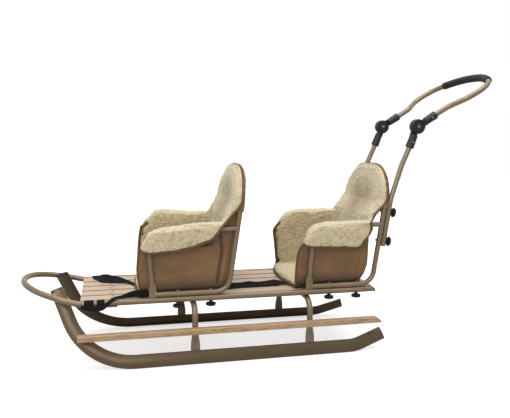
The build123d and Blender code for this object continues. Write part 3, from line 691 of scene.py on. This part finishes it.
def settle(seat, at):
    """The arm rolls as they lie: the front tips drawn back, the rear seat's flaps hanging lower.

    x is measured from the same point as the tables, and each ease() is where along and how high up.
    """
    if abs(at.y) < ROLL_FROM_Y or at.z > ROLL_BELOW_Z:
        return at
    made = at.copy()
    arm = arm_tip(seat)
    x = at.x - SHIFT
    tip = seat["tip"][1 if at.y > 0 else 0]
    outer = ease(0.156, 0.168, abs(at.y))
    lifted = outer * ease(0.362, 0.385, at.z) + (1 - outer) * ease(0.405, 0.435, at.z)
    made.x += tip * ease(arm + 0.070, arm, at.x) * lifted
    if seat["droop"]:
        if abs(at.y) > FLAP_FROM_Y:
            made.x += 0.024 * ease(0.340, 0.400, x) * ease(0.462, 0.430, at.z)
            made.z -= 0.020 * ease(0.300, 0.385, x) * ease(0.455, 0.400, at.z)
            made.z -= 0.006 * ease(0.220, 0.300, x) * ease(0.440, 0.385, at.z)
        if at.x < rear_line(seat["rear_x"], ARM_Z) - 0.045:
            made.z -= 0.009 * ease(0.446, 0.468, at.z)
        if at.y < 0 and made.z > FLAT_ARM_Z:
            made.z -= (made.z - FLAT_ARM_Z) * (0.7 * ease(0.445, 0.405, x))
    elif at.y < 0:
        made.z -= 0.012 * ease(-0.160, -0.300, x) * ease(0.440, 0.468, at.z)
    else:
        made.z -= 0.007 * ease(-0.250, -0.140, x) * ease(0.440, 0.465, at.z)
        made.z += 0.005 * ease(-0.200, -0.285, x) * ease(0.440, 0.465, at.z)
    return made


def cradle(share, half, low, corner, top):
    """Place (y, z) on the U of the cover's section, from the near rim to the far one."""
    wall = top - low - corner
    bend = math.pi / 2 * corner
    flat = 2 * (half - corner)
    run = share * (2 * wall + 2 * bend + flat)
    side = -1
    if run > wall + bend + flat / 2:
        run = 2 * wall + 2 * bend + flat - run
        side = 1
    if run < wall:
        return side * half, top - run
    if run < wall + bend:
        a = (run - wall) / corner
        return side * (half - corner + corner * math.cos(a)), low + corner - corner * math.sin(a)
    return side * (half - corner - (run - wall - bend)), low


def curl_height(at):
    """Curls and waves of the pile."""
    near = noise.voronoi(at * 100 + noise.noise_vector(at * 55) * 0.45)[0][0]
    return (0.42 - near) * 0.0034 + noise.noise(at * 38) * 0.0014


def tube_core(seat, name):
    """The arch of the seat's own tube, a little thicker, to fill the channel that it runs in."""
    core = copy_of(seat["name"] + "_seat_frame", name)
    keep_above(core, 0.5005)
    swell(core, lambda at: 0.0011)
    return core


def wall_front(piece, side):
    """Front edge of a side wall as it stands, by height."""
    table = []
    for k in range(18):
        z = 0.250 + 0.010 * k
        row = [
            v.co.x for v in piece.data.vertices
            if abs(v.co.z - z) < 0.006 and WALL_FROM_Y < side * v.co.y < WALL_TO_Y]
        table.append((z, min(row)))
    return table


def fleece_room(at, way):
    """The pile swells into the open and stays where it leans on nylon or tube."""
    out = way.y if at.y > 0 else -way.y
    held = 0.0
    if at.z < 0.445 and abs(at.y) < 0.170:
        held = max(ease(-0.1, 0.3, out), ease(-0.1, 0.3, way.x))
    if at.z < 0.275:
        held = max(held, ease(0.1, -0.3, way.z))
    if at.z > 0.445:
        held = max(held, ease(-0.1, 0.3, way.x))
    return MOST_SWELL * (1 - held)


def fill_corners(piece, rear_x):
    """A small block on each side closes the corner between the arm's pile and the back's."""
    for side in (-1, 1):
        bpy.ops.object.select_all(action="DESELECT")
        bpy.ops.mesh.primitive_cube_add(
            size=1, location=(rear_line(rear_x, 0.45) - 0.055, side * 0.1542, 0.4435),
            scale=(0.026, 0.0135, 0.030))
        bpy.ops.object.transform_apply(location=True, rotation=True, scale=True)
        join(piece, bpy.context.object)


def shape_fleece(seat, at, fronts):
    """Where a point of the pile goes; fronts are the walls' front edges as they stand."""
    front_x, rear_x = seat["front_x"], seat["rear_x"]
    # the side walls reach to the nylon's front edge
    if at.z < 0.436 and WALL_FROM_Y < abs(at.y) < WALL_TO_Y:
        reach = edge_x(seat, at.y, at.z) + 0.004
        end = along_table(fronts[1 if at.y > 0 else -1], at.z)
        share = ease(0.242, 0.27, at.z) * ease(*seat["reach_to"], at.z)
        at.x += (reach - end) * ease(end + 0.060, end, at.x) * share
    # the seat pad ends a little short of its space
    share = ease(front_x + 0.050, front_x - 0.010, at.x) * ease(0.275, 0.250, at.z)
    at.x += seat["pad_back"] * share
    # the back stays ahead of the nylon
    if at.z < 0.49 and abs(at.y) < 0.170:
        at.x = min(at.x, back_line(seat, at.z, at.y) - BEHIND_FLEECE)
    # thin round the rim of the hood, hollow in its middle
    ahead = rear_line(rear_x, at.z) - at.x
    if at.z > HOOD_FROM_Z and ahead > 0:
        depths = (
            (0.470, SOLID_DEPTH), (0.500, 0.028), (0.525, seat["rim"]), (0.600, seat["rim"]),
            (HOOD_TOP, 0.012))
        rim = along_table(depths, at.z)
        off = ((at.y / 0.150) ** 2 + ((at.z - HOOD_Z) / 0.080) ** 2) ** 0.5
        side = ease(0.10, 0.17, abs(at.y))
        face = rim * side + max(rim, 0.016) * (1 - side)
        left = ahead * face / SOLID_DEPTH * (1 - 0.45 * ease(1.0, 0.2, off))
        left = ahead + (left - ahead) * ease(HOOD_FROM_Z, 0.475, at.z)
        over = max(0.0, left - along_table(seat["ahead"], at.z))
        at.x += ahead - left + over * ease(0.092, 0.066, ahead)
    return at


def make_fleece(seat):
    name = seat["name"]
    piece = copy_of(name + "_seat_liner", name + "_fleece")
    join(piece, tube_core(seat, name + "_core"))
    fill_corners(piece, seat["rear_x"])
    shape_with(piece, "REMESH", mode="VOXEL", voxel_size=FLEECE_CELL)
    shape_with(piece, "SMOOTH", factor=0.5, iterations=7)
    fronts = {side: wall_front(piece, side) for side in (-1, 1)}
    for v in piece.data.vertices:
        v.co = shape_fleece(seat, v.co, fronts)
    moves = [settle(seat, v.co) - v.co for v in piece.data.vertices]
    puff(piece, FLEECE_PRESSURE, FLEECE_STEPS, fleece_room)
    for v, move in zip(piece.data.vertices, moves):
        v.co += move
    shape_with(piece, "SUBSURF", levels=1, render_levels=1)
    swell(piece, curl_height)
    paint_pile_shade(piece, seat)
    smooth(piece)
    dress(piece, FLEECE, "fleece", name + "_seat_liner")


def paint_pile_shade(piece, seat):
    """Painted shade on the pile, darker in the middle of the hood, on the inside of the walls and on the
    front of the back rest; and the darker line of the rear seat's seam.
    """
    dark = piece.data.attributes.new("hollow", "FLOAT", "POINT")
    for v, level in zip(piece.data.vertices, dark.data):
        at = v.co
        value = 0.0
        off = ((at.y / 0.140) ** 2 + ((at.z - HOOD_Z + 0.036) / 0.11) ** 2) ** 0.5
        if at.z > 0.44:
            value = ease(1.05, 0.2, off)
        inward = -v.normal.y if at.y > 0 else v.normal.y
        if inward > 0.2 and at.z < 0.46 and abs(at.y) < 0.165:
            value = max(value, 0.34 * ease(0.2, 0.7, inward) * ease(0.46, 0.41, at.z))
        if at.z < 0.47 and v.normal.x < -0.4 and abs(at.y) < 0.16 and at.x > seat["front_x"] + 0.12:
            value = max(value, 0.5)
        level.value = value * (0.8 + 0.4 * noise.noise(at * 22))
    if seat["droop"]:
        line = piece.data.attributes.new("seam", "FLOAT", "POINT")
        for v, level in zip(piece.data.vertices, line.data):
            at = v.co
            if v.normal.x < -0.4 and at.x > seat["front_x"] + 0.12 and 0.385 < at.z < 0.458:
                level.value = 0.9 * math.exp(-((at.y - SEAM_Y) / 0.0028) ** 2)


def wall_relief(seat, x, z, side, behind_x):
    """How far a side wall's nylon stands out at a place, and how near that is to its crease."""
    front_x = seat["front_x"]
    # between the tubes it bellies out
    open_part = max(0.0, min(1.0, (z - 0.245) / 0.05, (0.425 - z) / 0.05))
    share = min(1.0, max(0.0, (x - front_x - 0.012) / (behind_x - front_x - 0.012)))
    out = 0.0040 * math.sin(math.pi * share) * open_part
    # the crease, with a roll of cloth behind it and one ahead
    crease = x - (along_table(seat["fold"], z) + SHIFT)
    line = math.exp(-(crease / 0.0062) ** 2) * min(1.0, max(0.0, (z - 0.236) / 0.02))
    out -= 0.0022 * line * open_part
    out += 0.0042 * math.exp(-((crease - 0.014) / 0.009) ** 2) * open_part
    out += 0.0030 * math.exp(-((crease + 0.012) / 0.008) ** 2) * open_part
    # pulls and ripples, deeper toward the back
    pull = noise.noise(Vector((x * 14 + z * 12, side * 3.1, z * 5 - x * 8)))
    ripple = noise.noise(Vector((x * 34 + z * 12, side * 7.7, z * 16)))
    out += (pull * 0.0060 + ripple * 0.0024) * open_part * (0.4 + 0.9 * share)
    out = max(out, -0.0012)
    # it lies flat under the tubes
    if abs(x - front_x) < 0.014 or x > behind_x - 0.012:
        out = min(out, 0.0002)
    return out, line


def make_cradle(seat):
    """The nylon under the seat and up its sides."""
    name = seat["name"]
    creases = {}

    def side_wall(u, t):
        y, z = cradle(u, HALF, FLOOR_Z, CORNER, 0.498)
        ahead_x = front_line(seat, y, z) + 0.002
        behind_x = max(ahead_x + 0.002, back_line(seat, z) - 0.001)
        x = ahead_x + (behind_x - ahead_x) * t
        side = 1 if y > 0 else -1
        out = 0.0
        line = 0.0
        if abs(y) > 0.9 * HALF:
            out, line = wall_relief(seat, x, z, side, behind_x)
        made = Vector((x, side * (abs(y) + out) if abs(y) > 0.02 else y, z))
        creases[tuple(round(c, 5) for c in made)] = line * seat["crease_shade_and_slot"]
        return made

    cradle_sheet = grid_sheet(name + "_nylon_cradle", 170, 70, side_wall)
    # painted shade: the fold mark is darker along the crease, on seats that have the crease shade, and
    # toward the cradle's floor at the bottom of the walls
    dark = cradle_sheet.data.attributes.new("fold", "FLOAT", "POINT")
    for v, level in zip(cradle_sheet.data.vertices, dark.data):
        line = creases.get(tuple(round(c, 5) for c in v.co), 0.0)
        low = 0.9 * ease(0.288, 0.234, v.co.z)
        level.value = max(line, low)
    if seat["crease_shade_and_slot"]:
        # a thin band in the near wall, under the binding, painted near black, rising a little toward the
        # back
        slot = cradle_sheet.data.attributes.new("slot", "FLOAT", "POINT")
        for v, level in zip(cradle_sheet.data.vertices, slot.data):
            x = v.co.x - SHIFT
            middle = 0.3873 + (x + 0.175) * 0.15
            if v.co.y < -0.15 and -0.182 < x < -0.134:
                level.value = ease(0.0060, 0.0030, abs(v.co.z - middle))
    sew(cradle_sheet, NYLON, "nylon", name + "_seat_shell")


def make_back(seat):
    """The nylon behind the seat, from the floor to the pocket."""
    name = seat["name"]

    def back_wall(u, t):
        z = FLOOR_Z + 0.003 + (0.508 - FLOOR_Z - 0.003) * t
        half = HALF
        if z < FLOOR_Z + CORNER:
            half = HALF - CORNER + math.sqrt(CORNER ** 2 - (FLOOR_Z + CORNER - z) ** 2)
        y = half * (2 * u - 1)
        wave = noise.noise(Vector((y * 11, z * 7, seat["rear_x"] * 5)))
        belly = math.sin(math.pi * u) * math.sin(math.pi * t)
        return Vector((back_line(seat, z, y) - 0.001 + (wave * 0.003 + 0.004) * belly, y, z))

    back_sheet = grid_sheet(name + "_nylon_back", 60, 50, back_wall)
    sew(back_sheet, NYLON, "nylon")


def make_pocket(seat):
    """The nylon pocket pulled over the top of the seat's frame."""
    name = seat["name"]
    pocket = copy_of(name + "_seat_shell", name + "_nylon_hood")
    keep_above(pocket, 0.4995)
    join(pocket, tube_core(seat, name + "_pocket_core"))
    shape_with(pocket, "REMESH", mode="VOXEL", voxel_size=POCKET_CELL)
    shape_with(pocket, "SMOOTH", factor=0.5, iterations=4)
    swell(pocket, lambda at: noise.noise(at * 24) * 0.0010)
    smooth(pocket)
    dress(pocket, NYLON, "nylon")


def make_tapes(seat):
    """The bindings: round the front of the cradle, and along the covers' outer edge."""
    name, rear_x = seat["name"], seat["rear_x"]
    arm = arm_tip(seat)
    arm_rear = rear_line(rear_x, ARM_Z)

    # round the front of the cradle
    rim = []
    for k in range(61):
        y, z = cradle(0.035 + 0.93 * k / 60, HALF - 0.002, FLOOR_Z + 0.002, CORNER, FRONT_TOP)
        rim.append((front_line(seat, y, z) - 0.0005, y, z))
    dress(tube_along(name + "_rim_tape", soft_line(rim, 2), RIM_RADIUS), TAPE, "nylon")

    # under the folded arm flap, along the wing and round the hood's seam
    flap = [
        (arm - 0.041, 0.196, 0.3855), (arm - 0.020, 0.199, 0.3765), (arm + 0.002, 0.2005, 0.3745),
        (arm + 0.050, 0.2010, 0.3762), (arm + 0.100, 0.2010, 0.3785), (arm + 0.148, 0.2005, 0.3895),
        (arm_rear - 0.092, 0.2000, 0.4105), (arm_rear - 0.068, 0.1985, 0.4350),
        (arm_rear - 0.055, 0.1950, 0.4540),
    ]
    wing = [
        (rear_line(rear_x, z) - ahead, y, z)
        for z, ahead, y in (
            (0.462, 0.048, 0.1885), (0.475, 0.038, 0.1850), (0.488, 0.0285, 0.1838),
            (0.502, 0.0165, 0.1840), (0.516, 0.0065, 0.1862))
    ]
    tilt = math.atan(REAR_SLOPE)
    behind = Vector((math.cos(tilt), 0, -math.sin(tilt)))
    foot = Vector((rear_line(rear_x, POCKET_Z), 0, POCKET_Z)) + behind * POCKET_BEHIND
    rise = Vector((math.sin(tilt), 0, math.cos(tilt)))
    top = (HOOD_TOP - POCKET_Z) / math.cos(tilt) + 0.012
    arch = []
    for k in range(19):
        a = math.pi / 2 * (k + 3) / 21
        across = HOOD_HALF - HOOD_BEND + HOOD_BEND * math.cos(a)
        at = foot + rise * (top - HOOD_BEND + HOOD_BEND * math.sin(a))
        arch.append((at.x, across + 0.001, at.z + 0.001))
    half = flap + wing + arch
    far_half = half[1:] if seat["tip"][1] > 0 else half
    whole = [(x, -y, z) for x, y, z in half] + [(x, y, z) for x, y, z in reversed(far_half)]
    whole = [settle(seat, Vector(place)) for place in whole]
    dress(tube_along(name + "_edge_tape", soft_line(whole, 2), EDGE_RADIUS), TAPE, "nylon")


for seat in SEATS:
    make_fleece(seat)
    make_cradle(seat)
    make_back(seat)
    make_pocket(seat)
    make_tapes(seat)

# Tow straps: webbing that lies along the slats, and its rings round the deck tubes
SLAT_TOP = 0.2193
LINE_STEPS = 12
STRAPS = (
    # name, the node it stands for, what it lies on, and along the middle of the webbing:
    # x, y, height over the slats, tilt in degrees, width
    (
        "web_strap_left", "tow_strap_left", ("slat_1", "slat_2"),
        ((-0.376, -0.126, 0.0012, 0, 0.034), (-0.345, -0.116, 0.0010, 0, 0.034),
         (-0.200, -0.107, 0.0010, 0, 0.034), (-0.082, -0.099, 0.0016, 2, 0.034),
         (-0.050, -0.094, 0.0062, 20, 0.034), (0.018, -0.090, 0.0066, 22, 0.034),
         (0.067, -0.088, 0.0056, 17, 0.034), (0.110, -0.078, 0.0070, 24, 0.036),
         (0.140, -0.074, 0.0022, 4, 0.034), (0.165, -0.072, 0.0010, 0, 0.034)),
    ),
    (
        "web_tail_left", None, ("deck_frame",),
        ((-0.566, -0.1890, -0.0150, 90, 0.010), (-0.545, -0.1905, -0.0190, 85, 0.014),
         (-0.520, -0.1915, -0.0210, 75, 0.018), (-0.498, -0.1905, -0.0175, 70, 0.020),
         (-0.482, -0.1885, -0.0080, 60, 0.016), (-0.462, -0.1810, 0.0062, 28, 0.012),
         (-0.435, -0.1690, 0.0080, 50, 0.012), (-0.405, -0.1685, 0.0130, 72, 0.019),
         (-0.380, -0.1710, 0.0160, 80, 0.026), (-0.3545, -0.1722, 0.0166, 82, 0.026)),
    ),
    (
        "web_strap_right", "tow_strap_right", ("slat_3", "slat_4"),
        ((-0.531, 0.150, 0.0020, 10, 0.012), (-0.511, 0.118, 0.0090, 30, 0.030),
         (-0.490, 0.0835, 0.0124, 35, 0.041), (-0.445, 0.064, 0.0090, 30, 0.034),
         (-0.408, 0.048, 0.0030, 12, 0.020), (-0.387, 0.006, 0.0013, 2, 0.014),
         (-0.368, -0.040, 0.0010, 0, 0.014)),
    ),
)
for strap_name, node, under, stations in STRAPS:
    route = soft_line([(x, y, SLAT_TOP + lift) for x, y, lift, tilt, width in stations], LINE_STEPS)
    tilts = [(k * LINE_STEPS, math.radians(row[3])) for k, row in enumerate(stations)]
    widths = [(k * LINE_STEPS, row[4]) for k, row in enumerate(stations)]

    def strap_point(u, t, route=route, tilts=tilts, widths=widths):
        """u goes across the webbing, t along it; its raised parts are a little wavy."""
        place = t * (len(route) - 1)
        i = min(int(place), len(route) - 2)
        at = route[i].lerp(route[i + 1], place - i)
        way = route[min(i + 2, len(route) - 1)] - route[max(i - 1, 0)]
        way = Vector((way.x, way.y, 0)).normalized()
        tilt = along_table(tilts, place)
        side = Vector((-way.y, way.x, 0)) * math.cos(tilt) + Vector((0, 0, math.sin(tilt)))
        spot = at + side * along_table(widths, place) * (u - 0.5)
        edge = (2 * u - 1) ** 2
        wave = max(0.0, noise.noise(Vector((at.x * 30, len(route), u * 1.6))))
        spot.z += wave * 0.004 * (0.4 + 0.6 * edge) * ease(0.0015, 0.006, at.z - SLAT_TOP)
        return Vector((spot.x + SHIFT, spot.y, spot.z))

    strap = grid_sheet(strap_name, 8, 14 * len(stations), strap_point)
    sew(strap, WEBBING, "webbing", *([node] if node else []))
    steps = [(b - a).length for a, b in zip(route, route[1:])]
    cloth_area = sum(step * along_table(widths, k) for k, step in enumerate(steps))

rings = copy_of("tow_strap_rings", "web_rings")
soften_edges(rings, 0.0007, 2, 0.7)
dress(rings, WEBBING, "webbing", "tow_strap_rings")

grip = copy_of("push_grip", "foam_grip")
soften_edges(grip, 0.0035, 3, 0.9)
dress(grip, FOAM, "foam", "push_grip", body="push_bar")
